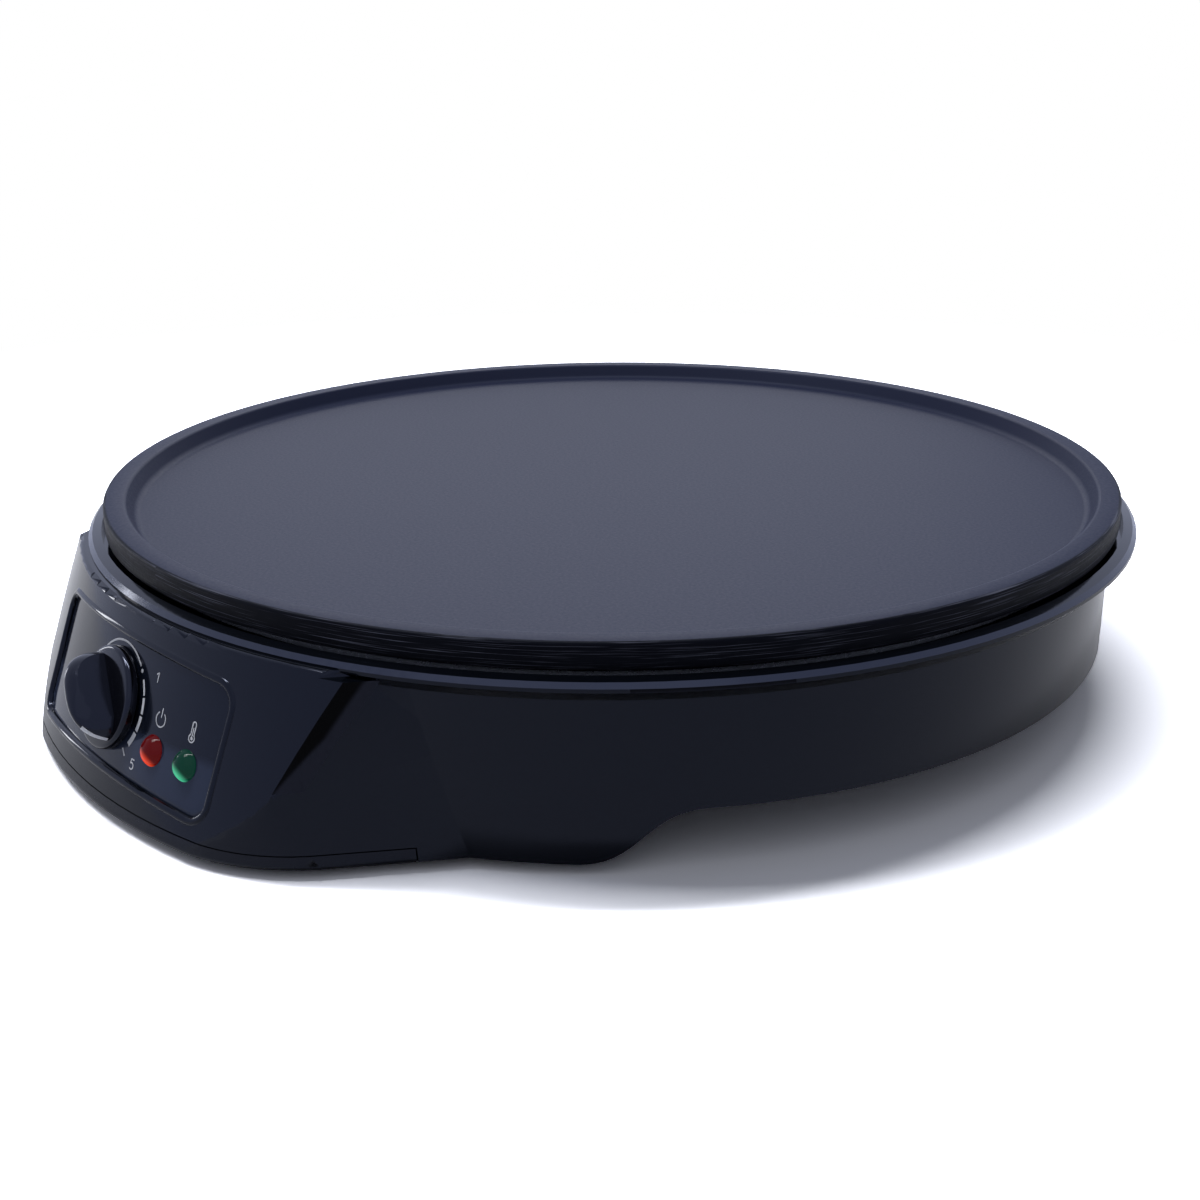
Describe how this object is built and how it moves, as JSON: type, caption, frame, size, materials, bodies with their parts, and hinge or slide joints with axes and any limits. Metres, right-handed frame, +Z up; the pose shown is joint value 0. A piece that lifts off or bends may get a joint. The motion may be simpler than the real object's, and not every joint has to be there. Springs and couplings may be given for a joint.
{
  "type": "electric crepe maker",
  "caption": "Round electric crepe maker: a rimmed non-stick hot plate on a gloss black drum housing with a sloping control pod, a turning thermostat knob and indicator lamps.",
  "frame": {"origin": "under the middle of the whole outline, on the surface that the feet stand on", "axes": "+Z up, -Y towards the control pod, +X to the right seen from the pod; the plate's axis is the vertical line at x = 0, y = +11.80 mm"},
  "size_m": [0.3148, 0.3384, 0.0605],
  "materials": {
    "black_gloss_plastic": "gloss black phenolic moulding",
    "black_matte_plastic": "matte black moulding",
    "coated_aluminium": "dark non-stick coating on cast aluminium",
    "zinc_steel": "zinc-plated steel",
    "element_sheath": "oxidised steel sheath",
    "white_ceramic": "matte ceramic",
    "plated_sheet": "plated sheet steel",
    "aluminised_sheet": "bright aluminised sheet",
    "panel_gloss": "glossy dark inlay",
    "white_print": "white print",
    "red_lens": "red clear plastic",
    "green_lens": "green clear plastic",
    "lamp_glass": "clear lamp",
    "natural_plastic": "natural nylon",
    "white_insulation": "silicone insulation",
    "knob_plastic": "satin black moulding",
    "phenolic": "brown phenolic",
    "copper_tube": "copper",
    "fuse_case": "glazed ceramic case",
    "brown_insulation": "glass-braid insulation",
    "black_insulation": "glass-braid insulation",
    "blue_insulation": "glass-braid insulation",
    "green_insulation": "glass-braid insulation",
    "foot_rubber": "soft rubber",
    "gland_rubber": "soft rubber"
  },
  "bodies": {
    "body": {"upper_shell": "black_gloss_plastic", "base_cover": "black_matte_plastic", "cooking_plate": "coated_aluminium", "plate_screws": "zinc_steel", "heating_element": "element_sheath", "element_insulators": "white_ceramic", "element_clamps": "plated_sheet", "strap_screws": "zinc_steel", "heat_reflector": "aluminised_sheet", "control_panel": "panel_gloss", "dial_marks": "white_print", "power_lens": "red_lens", "ready_lens": "green_lens", "power_lamp": "lamp_glass", "ready_lamp": "lamp_glass", "lamp_holder": "natural_plastic", "lamp_leads": "white_insulation", "thermostat_body": "phenolic", "thermostat_bracket": "plated_sheet", "thermostat_screws": "zinc_steel", "bracket_screws": "zinc_steel", "capillary_tube": "copper_tube", "sensing_bulb": "copper_tube", "bulb_clip": "plated_sheet", "thermal_fuse": "fuse_case", "fuse_clip": "plated_sheet", "terminal_block": "natural_plastic", "terminal_screws": "zinc_steel", "lead_supply": "brown_insulation", "lead_live": "brown_insulation", "lead_switched": "black_insulation", "lead_neutral": "blue_insulation", "lead_earth": "green_insulation", "earth_screw": "zinc_steel", "base_screws": "zinc_steel", "rubber_feet": "foot_rubber", "foot_screws": "zinc_steel", "cord_gland": "gland_rubber", "cord_clamp": "black_matte_plastic", "cord_clamp_screws": "zinc_steel"},
    "knob": {"thermostat_knob": "knob_plastic", "knob_pointer": "white_print", "knob_spring_clip": "plated_sheet", "thermostat_shaft": "zinc_steel"}
  },
  "joints": [
    {"name": "knob_turn", "type": "hinge", "parent": "body", "child": "knob", "pos_m": [0, -0.15538, 0.0284], "axis": [0, -0.9373, 0.3486], "range_deg": [0, 269.7]}
  ]
}
